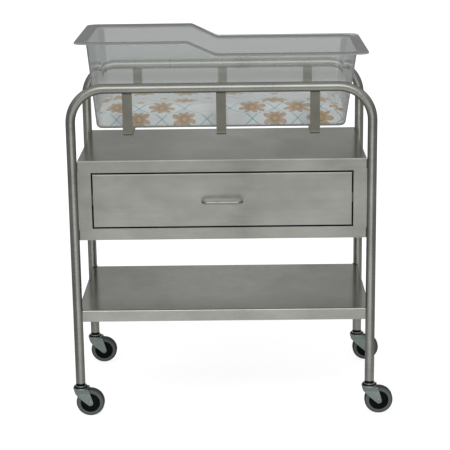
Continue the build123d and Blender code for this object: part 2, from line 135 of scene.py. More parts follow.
# Plated, moulded and rolled pieces
PLATE_ROUGHNESS = 0.34
SCREW_ROUGHNESS = 0.28
RACE_ROUGHNESS = 0.22
RUNNER_ROUGHNESS = 0.50
WELD_ROUGHNESS = 0.45
ROD_ROUGHNESS = (0.22, 0.32)
BLACK_ROUGHNESS = (0.38, 0.50)
TREAD_ROUGHNESS = (0.55, 0.75)
TREAD_SHOULDER = (0.0342, 0.0384)
TREAD_WOBBLE = 0.0024
TREAD_MARKS = 30.0
NYLON_ROUGHNESS = (0.35, 0.50)

# The basket's plastic: heights where the wall turns paler towards the bottom and where the
# flange's painted shade begins
PLASTIC_INDEX = 1.49
PLASTIC_ROUGHNESS = (0.035, 0.055)
WIPE_ROUGHNESS = 0.015
TRIM_ROUGHNESS = 0.5
WALL_PALING = (0.975, 0.905)
FLANGE_FROM = (0.950, 0.960)
FLANGE_LEVEL = (0.65, 0.75)
FLANGE_PAINTED_SHADE = 0.63
RIM_CORNER = 0.030
TRIM_BAND = (0.0012, 0.0002)

# Depths of the marks in each surface
SHEET_MARKS = 0.00004
TUBE_MARKS = 0.00002
PLATE_MARKS = 0.00005
ROD_MARKS = 0.00001
PLASTIC_RIPPLE = 0.00010
BLACK_GRAIN = 0.00008
TREAD_GRAIN = 0.00010
NYLON_GRAIN = 0.00010
WEAVE_DEPTH = 0.00012

# The pad's cover
LATTICE_PITCH = 0.120
LATTICE_SIDE = LATTICE_PITCH / 2**0.5
LATTICE_SHIFT = -0.010
LATTICE_LINE = 0.0019
LATTICE_DOT = (0.0045, 0.0058)
LATTICE_DRIFT = 0.006
PRINT_SEED = 1.0
LARGE_PETALS, SMALL_PETALS = 8, 5
SMALL_SIZE = 0.15
SMALL_PLACE = (0.26, -0.22, 0.0)
EYE_RADIUS = 0.26
INK_WIDTH = 0.035
THREADS = 1900.0
COVER_ROUGHNESS = (0.82, 0.92)
QUILT_DEPTH = 0.0030
QUILT_WIDTH = 0.0065
SIDE_QUILT = 0.35
WRINKLE_DEPTH = 0.0012
WRINKLES = Vector((22.0, 34.0, 20.0))
COVER_FOLD = 0.060
SIDE_LEAN = 0.158

# The pad's filling
PAD_SHRINK = 0.005
PAD_REACH = 0.016
PAD_GAP = 0.0012
PAD_VOXEL = 0.005
PAD_SIDE_SWELL = 0.0045
PAD_TOP_SWELL = 0.013
SWELL_PRESSURE = 4.0
SWELL_STEPS = 20

# Weld beads
BEAD_SPACING = 0.0011
BEAD_LENGTH = 0.0022
BEAD_WIDTH = 0.0034
STRAP_HALF = 0.0030

# The stage: strength of the surround, floor, cards and lamps
SURROUND_LIGHT = 0.42
SURROUND_SHINE = 0.18
SURROUND_THROUGH = -0.12
FLOOR_REACH = 14.0
FLOOR_GREY = (0.50, 0.50, 0.50, 1.0)
# Two distances from the middle, and the floor's strength there in reflections and to the camera
FLOOR_SHINE = (0.8, 2.0, 0.28, 0.10)
FLOOR_GLOW = (0.3, 3.0, 0.79, 0.94)
CLOTH_HEIGHT = 0.001
CLOTH_REACH = 2.8
CLOTH_DEPTH = (-2.2, 2.5)
FLAG_LINE = ((1.05, -1.9), (1.7, -1.5), (1.9, 0.5), (1.6, 3.0))
FLAG_TOP = 1.7
DARK_TONE = 0.18
CLEAR_CARD_FADE = (0.60, 0.86)
CLEAR_CARD_FOOT = 1.66
LAMP_AIM = Vector((0.0, 0.0, 0.6))


# ---------------------------------------------------------------- nodes


def add_node(tree, kind, inputs=None, **settings):
    """A node with its settings, and a value or a link for each named input."""
    made = tree.nodes.new(kind)
    for name, value in settings.items():
        setattr(made, name, value)
    for socket, value in (inputs or {}).items():
        if isinstance(value, bpy.types.NodeSocket):
            tree.links.new(value, made.inputs[socket])
        else:
            made.inputs[socket].default_value = value
    return made


def maths(tree, operation, first, second=0.0, third=0.0):
    """The result of a Math node."""
    inputs = {0: first, 1: second, 2: third}
    return add_node(tree, "ShaderNodeMath", inputs, operation=operation).outputs[0]


def vector_maths(tree, operation, *values, result="Vector"):
    """The result of a Vector Math node."""
    inputs = dict(enumerate(values))
    return add_node(tree, "ShaderNodeVectorMath", inputs, operation=operation).outputs[result]


def split(tree, vector):
    """A vector's three parts."""
    return add_node(tree, "ShaderNodeSeparateXYZ", {0: vector}).outputs


def join(tree, *parts):
    """A vector from its three parts."""
    return add_node(tree, "ShaderNodeCombineXYZ", dict(enumerate(parts))).outputs[0]


def distance(tree, u, v):
    """How far a place is from the middle, from its two coordinates."""
    return maths(tree, "SQRT", maths(tree, "MULTIPLY_ADD", u, u, maths(tree, "MULTIPLY", v, v)))


def map_range(tree, value, low, high, to_low=0.0, to_high=1.0):
    """A value rescaled and held between two limits."""
    limits = {"From Min": low, "From Max": high, "To Min": to_low, "To Max": to_high}
    return add_node(tree, "ShaderNodeMapRange", {"Value": value, **limits}).outputs[0]


def follow(tree, pattern, low, high):
    """A value that goes from low to high with a noise pattern."""
    return map_range(tree, pattern, *NOISE_SPAN, low, high)


def mix_colour(tree, share, first, second, blend="MIX"):
    """Two colours mixed by a share; a colour is a triple or a socket."""
    inputs = {0: share}
    for socket, colour in ((6, first), (7, second)):
        inputs[socket] = colour if isinstance(colour, bpy.types.NodeSocket) else (*colour, 1.0)
    return add_node(
        tree, "ShaderNodeMix", inputs, data_type="RGBA", blend_type=blend
    ).outputs[2]


def grey_colour(tree, value):
    """A grey of a given brightness."""
    return add_node(tree, "ShaderNodeCombineColor", dict.fromkeys(range(3), value)).outputs[0]


def scaled(values, gain):
    """A colour or a stretch times a gain."""
    return [value * gain for value in values]


def object_place(tree):
    """Object coordinates."""
    return add_node(tree, "ShaderNodeTexCoord").outputs["Object"]


def stretched_place(tree, scale):
    """Object coordinates, stretched to a pattern's scale."""
    inputs = {"Vector": object_place(tree), "Scale": scale}
    return add_node(tree, "ShaderNodeMapping", inputs).outputs[0]


def noise_value(tree, place, scale, detail=3.0, roughness=0.5):
    """A noise texture's value at a place, with its scale, detail and roughness."""
    inputs = {"Vector": place, "Scale": scale, "Detail": detail, "Roughness": roughness}
    return add_node(tree, "ShaderNodeTexNoise", inputs).outputs[0]


def line_noise(tree, length, scale, detail):
    """A noise texture's value along a line."""
    inputs = {"W": length, "Scale": scale, "Detail": detail}
    return add_node(tree, "ShaderNodeTexNoise", inputs, noise_dimensions="1D").outputs[0]


def new_finish(name, **values):
    """A material, its node tree and its shader, with the shader's plain values set."""
    material = bpy.data.materials.new(name)
    material.use_nodes = True
    tree = material.node_tree
    shader = tree.nodes["Principled BSDF"]
    for socket, value in values.items():
        shader.inputs[socket.replace("_", " ")].default_value = value
    return material, tree, shader


def lay_grain(tree, shader, along, amount):
    """Spreads the shine across the brush marks: along is the direction that it spreads in."""
    shader.inputs["Anisotropic"].default_value = amount
    tree.links.new(along, shader.inputs["Tangent"])


def set_surface(tree, shader, colour, roughness=None, height=None, depth=0.0):
    """Joins a colour, a roughness and a bump of the given depth to the shader."""
    tree.links.new(colour, shader.inputs["Base Color"])
    if roughness is not None:
        tree.links.new(roughness, shader.inputs["Roughness"])
    if height is not None:
        bump = add_node(
            tree, "ShaderNodeBump", {"Strength": 1.0, "Distance": depth, "Height": height}
        )
        tree.links.new(bump.outputs[0], shader.inputs["Normal"])


def brighten(tree, shader, gain):
    """Multiplies the shader's colour by a gain."""
    colour = shader.inputs["Base Color"].links[0].from_socket
    set_surface(tree, shader, mix_colour(tree, 1.0, colour, grey_colour(tree, gain), "MULTIPLY"))


# ---------------------------------------------------------------- finishes


def steel_grain(tree, shader, fine, broad, colour, roughness, depth, contrast):
    """Brush marks from a fine and a broad streak, over faint cloudy smudges."""
    smudge = noise_value(tree, stretched_place(tree, SMUDGE_STRETCH), 1.0, 5.0, 0.62)
    broad_part = maths(tree, "MULTIPLY", broad, 1 - FINE_SHARE)
    streaks = maths(tree, "MULTIPLY_ADD", fine, FINE_SHARE, broad_part)
    streak_tone = maths(tree, "SUBTRACT", streaks, 0.5)
    tone = maths(tree, "MULTIPLY_ADD", streak_tone, contrast, follow(tree, smudge, *SMUDGE_TONE))
    steel = mix_colour(tree, 1.0, colour, grey_colour(tree, tone), "MULTIPLY")
    least = roughness - STREAK_ROUGHNESS / 2
    spread = maths(tree, "MULTIPLY_ADD", streaks, STREAK_ROUGHNESS, least)
    spread = maths(tree, "MULTIPLY_ADD", smudge, SMUDGE_ROUGHNESS, spread)
    set_surface(tree, shader, steel, spread, streaks, depth)


def brushed_sheet(name, way, colour=STAINLESS, roughness=SHEET_ROUGHNESS, piece=None, band=None):
    """Sheet or bar brushed one way, given as the streaks' stretch and the shine's direction.
    A piece may have a painted highlight band along its front, made brighter in colour."""
    stretch, spread = way
    material, tree, shader = new_finish(name, Metallic=1.0, Specular_Tint=STEEL_EDGE_TINT)
    fine = noise_value(tree, stretched_place(tree, scaled(stretch, SHEET_STREAKS[0])), 1.0, 2.0)
    broad = noise_value(tree, stretched_place(tree, scaled(stretch, SHEET_STREAKS[1])), 1.0, 3.0)
    steel_grain(tree, shader, fine, broad, colour, roughness, SHEET_MARKS, SHEET_CONTRAST)
    # Painted highlight: a band along the front's top edge is made brighter in colour
    if band:
        tall, deep, bright = band
        low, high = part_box(piece)
        _, y, z = split(tree, object_place(tree))
        front = map_range(tree, y, low.y + deep * 0.6, low.y + deep, 1.0, 0.0)
        top = map_range(tree, z, high.z - tall - BAND_FADE, high.z - tall)
        highlight_band = maths(tree, "MULTIPLY", front, top)
        brighten(tree, shader, map_range(tree, highlight_band, 0.0, 1.0, 1.0, bright))
    lay_grain(tree, shader, join(tree, *spread), SHEET_SHINE)
    return material


def polished_tube(name):
    """Tube polished round its girth: the marks follow the length of the legs, bends and rail."""
    material, tree, shader = new_finish(name, Metallic=1.0, Specular_Tint=STEEL_EDGE_TINT)
    x, y, z = split(tree, object_place(tree))
    sideways = maths(tree, "SUBTRACT", x, STAND_MIDDLE.x)
    across = maths(tree, "ABSOLUTE", sideways)
    bend_x = LEG_X - RAIL_BEND
    bend_z = RAIL_HEIGHT - RAIL_BEND
    past_x = maths(tree, "MAXIMUM", maths(tree, "SUBTRACT", across, bend_x), 0.0)
    past_z = maths(tree, "MAXIMUM", maths(tree, "SUBTRACT", z, bend_z), 0.0)
    turn = maths(tree, "MULTIPLY", maths(tree, "ARCTAN2", past_z, past_x), RAIL_BEND)
    along_rail = maths(tree, "MAXIMUM", maths(tree, "SUBTRACT", bend_x, across), 0.0)
    length = maths(tree, "ADD", maths(tree, "MINIMUM", z, bend_z), turn)
    length = maths(tree, "ADD", length, along_rail)
    fine, broad = [line_noise(tree, length, scale, 3.0) for scale in TUBE_RINGS]
    steel_grain(
        tree, shader, fine, broad, STAINLESS_TUBE, TUBE_ROUGHNESS, TUBE_MARKS, TUBE_CONTRAST
    )
    # Painted light: the lower legs, the rear ones more, are made paler in colour than the rails
    rear = maths(tree, "GREATER_THAN", y, STAND_MIDDLE.y)
    leg_light = map_range(tree, rear, 0.0, 1.0, LEG_PAINTED_LIGHT, REAR_LEG_PAINTED_LIGHT)
    brighten(tree, shader, map_range(tree, z, *LEG_PAINTED_LIGHT_FADE, leg_light, 1.0))
    inward = maths(tree, "MULTIPLY", past_z, maths(tree, "SIGN", sideways))
    bent = join(tree, maths(tree, "MULTIPLY", inward, -1.0), 0.0, past_x)
    straight = join(tree, 0.0, 0.0, maths(tree, "LESS_THAN", past_z, 0.0001))
    lay_grain(tree, shader, vector_maths(tree, "ADD", bent, straight), TUBE_SHINE)
    return material


def plated_steel(name, colour, roughness, dark=ZINC_DARK):
    """Bright zinc plate: a soft mottle, fine drawing marks and dull patches."""
    material, tree, shader = new_finish(name, Metallic=1.0, Specular_Tint=STEEL_EDGE_TINT)
    place = object_place(tree)
    mottle = noise_value(tree, place, 160.0, 4.0, 0.65)
    grain = noise_value(tree, place, 1500.0, 2.0)
    dull = map_range(tree, noise_value(tree, place, 45.0, 3.0), 0.55, 0.75, 0.0, 0.35)
    tone = mix_colour(tree, dull, colour, dark)
    bright = map_range(tree, mottle, 0.35, 0.75, 0.0, 0.5)
    tone = mix_colour(tree, bright, tone, scaled(colour, 1.22))
    spread = follow(tree, mottle, roughness - 0.05, roughness + 0.08)
    height = maths(tree, "MULTIPLY_ADD", grain, 0.5, mottle)
    set_surface(tree, shader, tone, spread, height, PLATE_MARKS)
    return material


def polished_rod(name):
    """The pull's bright rod, with hairlines along its length."""
    material, tree, shader = new_finish(name, Metallic=1.0, Specular_Tint=ROD_EDGE_TINT)
    hairline = noise_value(tree, stretched_place(tree, (25.0, 1500.0, 1500.0)), 1.0, 2.0)
    tone = mix_colour(tree, hairline, scaled(POLISHED, 0.88), POLISHED)
    set_surface(tree, shader, tone, follow(tree, hairline, *ROD_ROUGHNESS), hairline, ROD_MARKS)
    return material


def rim_trim(tree, place):
    """Where the flange's trimmed edge is, as the outermost band of the rim's rounded outline."""
    low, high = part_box("basket")
    away = vector_maths(tree, "ABSOLUTE", vector_maths(tree, "SUBTRACT", place, (low + high) / 2))
    straight = (high - low) / 2 - Vector((RIM_CORNER, RIM_CORNER, 0.0))
    straight.z = 1.0
    past = vector_maths(tree, "SUBTRACT", away, straight)
    past = vector_maths(tree, "MAXIMUM", past, (0.0, 0.0, 0.0))
    past = vector_maths(tree, "LENGTH", past, result="Value")
    return map_range(tree, past, *(RIM_CORNER - inset for inset in TRIM_BAND))


def clear_moulding(name):
    """Clear moulded plastic: its wall is paler towards the bottom, with painted shade on the
    flange's level faces, a slight haze, wipe marks and a satin trimmed edge."""
    material, tree, shader = new_finish(
        name, Transmission_Weight=0.98, IOR=PLASTIC_INDEX, Specular_IOR_Level=0.5
    )
    place = object_place(tree)
    height = split(tree, place)[2]
    # The wall's tone turns paler towards the bottom
    paling = map_range(tree, height, *WALL_PALING)
    tone = mix_colour(tree, paling, CLEAR_PLASTIC, CLEAR_DEEP)
    haze = noise_value(tree, stretched_place(tree, (3.0, 3.0, 9.0)), 1.0, 4.0, 0.6)
    tone = mix_colour(tree, 1.0, tone, mix_colour(tree, haze, CLEAR_HAZE, WHITE), "MULTIPLY")
    # Painted shade: the flange's level faces are made darker in colour
    facing = split(tree, add_node(tree, "ShaderNodeNewGeometry").outputs["True Normal"])[2]
    level = map_range(tree, maths(tree, "ABSOLUTE", facing), *FLANGE_LEVEL)
    flange = maths(tree, "MULTIPLY", level, map_range(tree, height, *FLANGE_FROM))
    tone = mix_colour(tree, flange, tone, scaled(CLEAR_PLASTIC, FLANGE_PAINTED_SHADE))
    trimmed = rim_trim(tree, place)
    tone = mix_colour(tree, trimmed, tone, WHITE)
    wipe = noise_value(tree, stretched_place(tree, (20.0, 220.0, 160.0)), 1.0, 2.0)
    spread = follow(tree, haze, *PLASTIC_ROUGHNESS)
    spread = maths(tree, "MULTIPLY_ADD", wipe, WIPE_ROUGHNESS, spread)
    spread = maths(tree, "MULTIPLY_ADD", trimmed, TRIM_ROUGHNESS, spread)
    ripple = noise_value(tree, stretched_place(tree, (14.0, 14.0, 6.0)), 1.0, 2.0)
    set_surface(tree, shader, tone, spread, ripple, PLASTIC_RIPPLE)
    return material


def moulded_black(name):
    """Black plastic with a fine spark texture and dusty greyer patches."""
    material, tree, shader = new_finish(name, Specular_IOR_Level=0.12)
    place = object_place(tree)
    grain = noise_value(tree, place, 900.0, 3.0)
    dust = map_range(tree, noise_value(tree, place, 70.0, 4.0, 0.6), 0.5, 0.8, 0.0, 0.3)
    tone = mix_colour(tree, dust, BLACK_PLASTIC, BLACK_DUST)
    set_surface(tree, shader, tone, follow(tree, grain, *BLACK_ROUGHNESS), grain, BLACK_GRAIN)
    return material


def worn_tread(name, axle):
    """Grey rubber: paler scuffed side walls, and a darker rolling face with fine rolling marks."""
    material, tree, shader = new_finish(name, Specular_IOR_Level=0.3)
    place = object_place(tree)
    x, _, z = split(tree, vector_maths(tree, "SUBTRACT", place, axle))
    scuff = noise_value(tree, place, 130.0, 4.0, 0.65)
    wobble = maths(tree, "MULTIPLY_ADD", scuff, TREAD_WOBBLE, distance(tree, x, z))
    rolling = map_range(tree, wobble, *TREAD_SHOULDER)
    turn = maths(tree, "MULTIPLY", maths(tree, "ARCTAN2", z, x), TREAD_MARKS)
    marks = line_noise(tree, turn, 1.0, 2.0)
    pale = mix_colour(tree, scuff, TREAD_GREY, scaled(TREAD_GREY, 1.35))
    tone = mix_colour(tree, rolling, pale, TREAD_DARK)
    tone = mix_colour(tree, maths(tree, "MULTIPLY", marks, 0.3), tone, TREAD_DARK)
    grain = noise_value(tree, place, 800.0, 3.0)
    set_surface(tree, shader, tone, follow(tree, scuff, *TREAD_ROUGHNESS), grain, TREAD_GRAIN)
    return material


def moulded_nylon(name):
    """Natural nylon with a faint milky mottle."""
    material, tree, shader = new_finish(name, Specular_IOR_Level=0.4)
    mottle = noise_value(tree, object_place(tree), 60.0, 3.0)
    tone = mix_colour(tree, mottle, scaled(NYLON, 0.9), NYLON)
    set_surface(tree, shader, tone, follow(tree, mottle, *NYLON_ROUGHNESS), mottle, NYLON_GRAIN)
    return material


# ---------------------------------------------------------------- the printed cover


def lattice_cells(tree, place):
    """The slightly wavy diamond lattice: a place's cell, and where in it from -0.5 to 0.5."""
    drift = add_node(tree, "ShaderNodeTexNoise", {"Vector": place, "Scale": 26.0, "Detail": 2.0})
    drift = vector_maths(tree, "SUBTRACT", drift.outputs["Color"], (0.5, 0.5, 0.5))
    paling = vector_maths(
        tree, "MULTIPLY_ADD", drift, (LATTICE_DRIFT, LATTICE_DRIFT, 0.0), place
    )
    turned = {
        "Vector": paling,
        "Location": (-LATTICE_SHIFT / LATTICE_PITCH, LATTICE_SHIFT / LATTICE_PITCH, 0.0),
        "Rotation": (0.0, 0.0, radians(45.0)),
        "Scale": (1 / LATTICE_SIDE, 1 / LATTICE_SIDE, 1.0),
    }
    cells = add_node(tree, "ShaderNodeMapping", turned).outputs[0]
    inside = vector_maths(tree, "FRACTION", cells)
    return (
        vector_maths(tree, "FLOOR", cells),
        vector_maths(tree, "SUBTRACT", inside, (0.5, 0.5, 0.0)),
    )


def lattice_print(tree, local):
    """The lattice's printed lines, with a dot where they cross."""
    u, v, _ = split(tree, local)
    edge_u = maths(tree, "SUBTRACT", 0.5, maths(tree, "ABSOLUTE", u))
    edge_v = maths(tree, "SUBTRACT", 0.5, maths(tree, "ABSOLUTE", v))
    edge = maths(tree, "MULTIPLY", maths(tree, "MINIMUM", edge_u, edge_v), LATTICE_SIDE)
    knot = maths(tree, "MULTIPLY", maths(tree, "ADD", edge_u, edge_v), LATTICE_SIDE)
    line = map_range(tree, edge, LATTICE_LINE * 0.5, LATTICE_LINE, 1.0, 0.0)
    return maths(tree, "MAXIMUM", line, map_range(tree, knot, *LATTICE_DOT, 1.0, 0.0))


def blossom(tree, local, size, petals, spin):
    """A daisy about a point: how far inside its outline a place is, its reach from the middle
    and the seams between its petals."""
    u, v, _ = split(tree, local)
    reach = maths(tree, "DIVIDE", distance(tree, u, v), size)
    turn = maths(tree, "ADD", maths(tree, "ARCTAN2", v, u), spin)
    lobe = maths(tree, "ABSOLUTE", maths(tree, "SINE", maths(tree, "MULTIPLY", turn, petals / 2)))
    outline = maths(tree, "MULTIPLY_ADD", maths(tree, "POWER", lobe, 0.75), 0.62, 0.38)
    seam = map_range(tree, maths(tree, "MULTIPLY", lobe, reach), 0.06, 0.16, 1.0, 0.0)
    return maths(tree, "SUBTRACT", outline, reach), reach, seam


def petal_colour(tree, place, wash, golden, inside, reach, seam):
    """A large daisy's colours: tan petals with paler tips and gold flecks, and a gold eye."""
    petal = mix_colour(tree, map_range(tree, reach, 0.25, 0.85), PRINT_TAN, PRINT_ROSE)
    petal = mix_colour(tree, map_range(tree, wash, 0.46, 0.60, 0.0, 0.8), petal, PRINT_TAN)
    fleck = map_range(tree, noise_value(tree, place, 120.0, 3.0, 0.6), 0.52, 0.60)
    gold = maths(tree, "MULTIPLY", maths(tree, "MAXIMUM", golden, fleck), 0.65)
    petal = mix_colour(tree, gold, petal, PRINT_GOLD)
    ink = maths(tree, "MULTIPLY", maths(tree, "COMPARE", inside, 0.03, INK_WIDTH), 0.8)
    ink = maths(tree, "MAXIMUM", ink, maths(tree, "MULTIPLY", seam, 0.65))
    petal = mix_colour(tree, ink, petal, PRINT_LINE)
    eye = map_range(tree, reach, EYE_RADIUS - 0.02, EYE_RADIUS + 0.01, 1.0, 0.0)
    petal = mix_colour(tree, eye, petal, PRINT_GOLD)
    ring = maths(tree, "MULTIPLY", maths(tree, "COMPARE", reach, EYE_RADIUS, INK_WIDTH), 0.8)
    return mix_colour(tree, ring, petal, PRINT_LINE)


def printed_cover(name):
    """Quilted cotton cover: a blue diamond lattice with a blossom in some of its cells."""
    material, tree, shader = new_finish(
        name, Specular_IOR_Level=0.25, Sheen_Weight=0.25, Sheen_Roughness=0.5
    )
    place = add_node(tree, "ShaderNodeUVMap", uv_map="print").outputs[0]
    cell, local = lattice_cells(tree, place)
    chance, draws = add_node(
        tree, "ShaderNodeTexWhiteNoise", {"Vector": cell, "W": PRINT_SEED}, noise_dimensions="4D"
    ).outputs
    spin = maths(tree, "MULTIPLY", chance, 6.28)
    large_size = maths(tree, "MULTIPLY_ADD", split(tree, draws)[1], 0.10, 0.37)
    large, reach, seam = blossom(tree, local, large_size, LARGE_PETALS, spin)
    small_local = vector_maths(tree, "SUBTRACT", local, SMALL_PLACE)
    small = blossom(tree, small_local, SMALL_SIZE, SMALL_PETALS, spin)[0]
    has_large = maths(tree, "GREATER_THAN", chance, 0.46)
    has_small = maths(tree, "COMPARE", chance, 0.28, 0.17)
    golden = maths(tree, "GREATER_THAN", chance, 0.78)
    print_large = maths(tree, "MULTIPLY", maths(tree, "GREATER_THAN", large, 0.0), has_large)
    print_small = maths(tree, "MULTIPLY", maths(tree, "GREATER_THAN", small, 0.0), has_small)

    wash = noise_value(tree, place, 60.0, 4.0, 0.6)
    threads = {"Vector": place, "Scale": (THREADS, THREADS, 1.0)}
    warp, weft, _ = split(tree, add_node(tree, "ShaderNodeMapping", threads).outputs[0])
    weave = maths(tree, "MULTIPLY", maths(tree, "SINE", warp), maths(tree, "SINE", weft))
    tone = mix_colour(tree, follow(tree, wash, 0.0, 1.0), scaled(COVER_WHITE, 0.95), COVER_WHITE)
    lattice = maths(tree, "MULTIPLY", lattice_print(tree, local), 0.85)
    tone = mix_colour(tree, lattice, tone, LATTICE_BLUE)
    petal = petal_colour(tree, place, wash, golden, large, reach, seam)
    tone = mix_colour(tree, maths(tree, "MULTIPLY", print_large, 0.9), tone, petal)
    tone = mix_colour(tree, maths(tree, "MULTIPLY", print_small, 0.85), tone, PRINT_GOLD)
    shade = grey_colour(tree, map_range(tree, weave, -1.0, 1.0, 0.93, 1.0))
    tone = mix_colour(tree, 1.0, tone, shade, "MULTIPLY")
    spread = map_range(tree, weave, -1.0, 1.0, *COVER_ROUGHNESS)
    set_surface(tree, shader, tone, spread, weave, WEAVE_DEPTH)
    return material


# ---------------------------------------------------------------- the pad


def cover_place(point, low, high):
    """Where a point of the pad lies on its flat cover: the leaning sides fold up to the top."""
    middle, half = (low + high) / 2, (high - low) / 2
    x, y = point.x - middle.x, point.y - middle.y
    drop = high.z - point.z
    lean = drop * SIDE_LEAN
    spare_x, spare_y = half.x - abs(x) - lean, half.y - abs(y) - lean
    fold = 1 - min(max(0.0, min(spare_x, spare_y)) / COVER_FOLD, 1.0)
    reach = (drop + lean) * fold
    if spare_y < spare_x:
        return point.x, point.y + (reach if y > 0 else -reach)
    return point.x + (reach if x > 0 else -reach), point.y


def lattice_distance(u, v):
    """How far a place on the cover is from the nearest lattice line."""
    v += LATTICE_SHIFT
    across = ((u - v) / 2**0.5) / LATTICE_SIDE
    along = ((u + v) / 2**0.5) / LATTICE_SIDE
    return LATTICE_SIDE * min(abs(across - round(across)), abs(along - round(along)))


def add_object(name, data):
    """A new object in the scene."""
    made = bpy.data.objects.new(name, data)
    bpy.context.scene.collection.objects.link(made)
    return made


def mesh_copy(name, source):
    """A new object with a copy of a mesh, its loose triangles joined."""
    mesh = source.data.copy()
    mesh.name = name
    shape = bmesh.new()
    shape.from_mesh(mesh)
    bmesh.ops.remove_doubles(shape, verts=shape.verts, dist=0.00005)
    shape.to_mesh(mesh)
    shape.free()
    mesh.materials.clear()
    return add_object(name, mesh)


def shaped_mesh(piece):
    """A plain mesh of a piece with its modifiers applied."""
    bpy.context.view_layer.update()
    seen = piece.evaluated_get(bpy.context.evaluated_depsgraph_get())
    return bpy.data.meshes.new_from_object(seen)


def apply_modifiers(piece):
    """Bakes a piece's modifiers into its mesh."""
    mesh = shaped_mesh(piece)
    piece.modifiers.clear()
    piece.data = mesh


def swell(piece):
    """Inflates a closed cover with cloth under pressure, and holds how far each point moves."""
    start = [vertex.co.copy() for vertex in piece.data.vertices]
    facing = [vertex.normal.copy() for vertex in piece.data.vertices]
    cloth = piece.modifiers.new("swell", "CLOTH")
    cloth.settings.use_pressure = True
    cloth.settings.uniform_pressure_force = SWELL_PRESSURE
    cloth.settings.effector_weights.gravity = 0.0
    cloth.settings.quality = 5
    cloth.point_cache.frame_start = 1
    cloth.point_cache.frame_end = SWELL_STEPS
    for step in range(1, SWELL_STEPS + 1):
        bpy.context.scene.frame_set(step)
    apply_modifiers(piece)
    bpy.context.scene.frame_set(1)
    for vertex, origin, normal in zip(piece.data.vertices, start, facing):
        limit = PAD_SIDE_SWELL + (PAD_TOP_SWELL - PAD_SIDE_SWELL) * max(0.0, normal.z)
        move = vertex.co - origin
        if move.length > limit:
            move *= limit / move.length
        vertex.co = origin + move


def fill_basket(piece):
    """Presses the pad's sides outwards until they lie along the basket's walls."""
    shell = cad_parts["basket"].data
    walls = BVHTree.FromPolygons(
        [vertex.co for vertex in shell.vertices], [face.vertices for face in shell.polygons]
    )
    facing = [vertex.normal.copy() for vertex in piece.data.vertices]
    for vertex, normal in zip(piece.data.vertices, facing):
        outward = Vector((normal.x, normal.y, 0.0))
        level = outward.length
        if level < 0.05:
            continue
        room = walls.ray_cast(vertex.co, outward.normalized(), PAD_REACH + PAD_GAP)[3]
        if room is not None:
            vertex.co += outward.normalized() * (room - PAD_GAP) * min(1.0, level * 1.3)


def bounds_of(piece):
    """The lowest and highest corners of a piece."""
    places = [vertex.co for vertex in piece.data.vertices]
    return [Vector(choice(p[axis] for p in places) for axis in range(3)) for choice in (min, max)]


def quilt(piece, low, high):
    """Presses the lattice's lines into the cover, and lays faint wrinkles between them."""
    vertices = piece.data.vertices
    facing = [vertex.normal.copy() for vertex in vertices]
    for vertex, normal in zip(vertices, facing):
        if normal.z < -0.5:
            continue
        u, v = cover_place(vertex.co, low, high)
        near = lattice_distance(u, v) / QUILT_WIDTH
        level = SIDE_QUILT + (1 - SIDE_QUILT) * max(0.0, normal.z)
        groove = QUILT_DEPTH * exp(-near * near) * level
        wrinkle = noise.fractal(Vector((u, v, vertex.co.z)) * WRINKLES, 1.0, 2.0, 3)
        vertex.co -= normal * (groove - WRINKLE_DEPTH * min(0.5, wrinkle) * level)


def lay_print(piece, low, high):
    """Unfolds the cover flat for the print, so that it runs on over the top's edges."""
    mesh = piece.data
    layer = mesh.uv_layers.new(name="print")
    places = [cover_place(vertex.co, low, high) for vertex in mesh.vertices]
    for loop in mesh.loops:
        layer.data[loop.index].uv = places[loop.vertex_index]


def make_pad():
    """The padded mattress: swollen from the frame's solid, quilted and printed."""
    low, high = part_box("mattress")
    middle, half = (low + high) / 2, (high - low) / 2
    pad = mesh_copy("pad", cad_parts["mattress"])
    for vertex in pad.data.vertices:
        offset = vertex.co - middle
        offset.x *= 1 - PAD_SHRINK / half.x
        offset.y *= 1 - PAD_SHRINK / half.y
        offset.z -= PAD_SHRINK * max(0.0, offset.z) / half.z
        vertex.co = middle + offset
    remesh = pad.modifiers.new("even", "REMESH")
    remesh.mode = "VOXEL"
    remesh.voxel_size = PAD_VOXEL
    apply_modifiers(pad)
    swell(pad)
    smooth = pad.modifiers.new("smooth", "SUBSURF")
    smooth.levels = smooth.render_levels = 1
    apply_modifiers(pad)
    fill_basket(pad)
    cover_low, cover_high = bounds_of(pad)
    quilt(pad, cover_low, cover_high)
    for vertex in pad.data.vertices:
        vertex.co.z = max(vertex.co.z, low.z)
    lay_print(pad, cover_low, cover_high)
    for face in pad.data.polygons:
        face.use_smooth = True
    return pad


# ---------------------------------------------------------------- weld beads


def row_tree(name):
    """A geometry tree that sets small beads along curves, each turned along its curve."""
    tree = bpy.data.node_groups.new(name, "GeometryNodeTree")
    face = tree.interface
    face.new_socket("Path", in_out="INPUT", socket_type="NodeSocketGeometry")
    for label in ("Spacing", "Bead Length", "Bead Width"):
        face.new_socket(label, in_out="INPUT", socket_type="NodeSocketFloat")
    face.new_socket("Finish", in_out="INPUT", socket_type="NodeSocketMaterial")
    face.new_socket("Row", in_out="OUTPUT", socket_type="NodeSocketGeometry")
    given = tree.nodes.new("NodeGroupInput").outputs
    bead = add_node(tree, "GeometryNodeMeshUVSphere", {"Segments": 10, "Rings": 6, "Radius": 0.5})
    size = join(tree, given["Bead Width"], given["Bead Width"], given["Bead Length"])
    along = {"Curve": given["Path"], "Length": given["Spacing"]}
    points = add_node(tree, "GeometryNodeCurveToPoints", along, mode="LENGTH").outputs
    beads = {
        "Points": points["Points"],
        "Instance": bead.outputs["Mesh"],
        "Rotation": points["Rotation"],
        "Scale": size,
    }
    placed = add_node(tree, "GeometryNodeInstanceOnPoints", beads)
    solid = add_node(tree, "GeometryNodeRealizeInstances", {0: placed.outputs[0]})
    smooth = add_node(tree, "GeometryNodeSetShadeSmooth", {0: solid.outputs[0]})
    dressed = add_node(
        tree, "GeometryNodeSetMaterial", {0: smooth.outputs[0], "Material": given["Finish"]}
    )
    add_node(tree, "NodeGroupOutput", {0: dressed.outputs[0]})
    return tree


